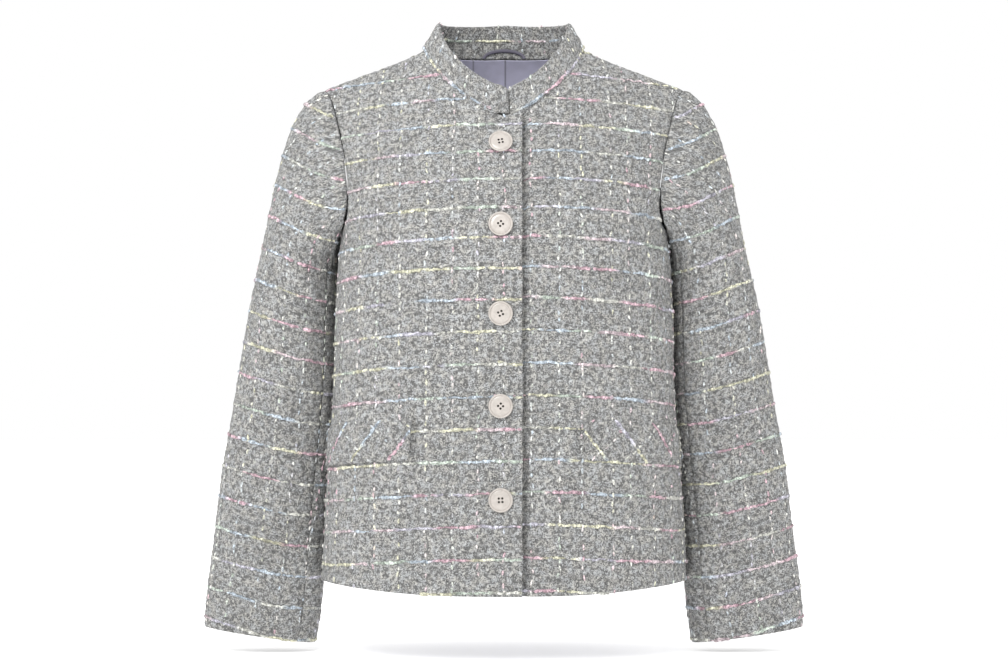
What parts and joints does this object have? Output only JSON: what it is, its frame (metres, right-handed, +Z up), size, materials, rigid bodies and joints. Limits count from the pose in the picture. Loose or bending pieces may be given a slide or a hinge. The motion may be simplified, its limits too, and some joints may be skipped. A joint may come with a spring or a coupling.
{
  "type": "tweed jacket",
  "caption": "Hip-length buttoned tweed jacket with a stand collar, set-in long sleeves and bias pocket flaps, filled out as worn.",
  "frame": {"origin": "middle of the neck opening, level with the inner ends of the shoulder seams, where the wearer holds the jacket up", "axes": "+Z up along the wearer's spine, -Y out of the front, +X to the wearer's left"},
  "size_m": [0.6598, 0.2493, 0.6902],
  "materials": {
    "tweed": "nubby grey tweed with pastel stripes",
    "lining": "satin lining",
    "button": "pearly beige"
  },
  "bodies": {
    "root": {"front_right": "tweed", "front_left": "tweed", "back": "tweed", "sleeve_right_top": "tweed", "sleeve_right_under": "tweed", "sleeve_left_top": "tweed", "sleeve_left_under": "tweed", "collar": "tweed", "flap_right": "tweed", "flap_left": "tweed", "back_lining": "lining", "hanger_loop": "lining", "button_1": "button", "button_2": "button", "button_3": "button", "button_4": "button", "button_5": "button"}
  },
  "joints": []
}
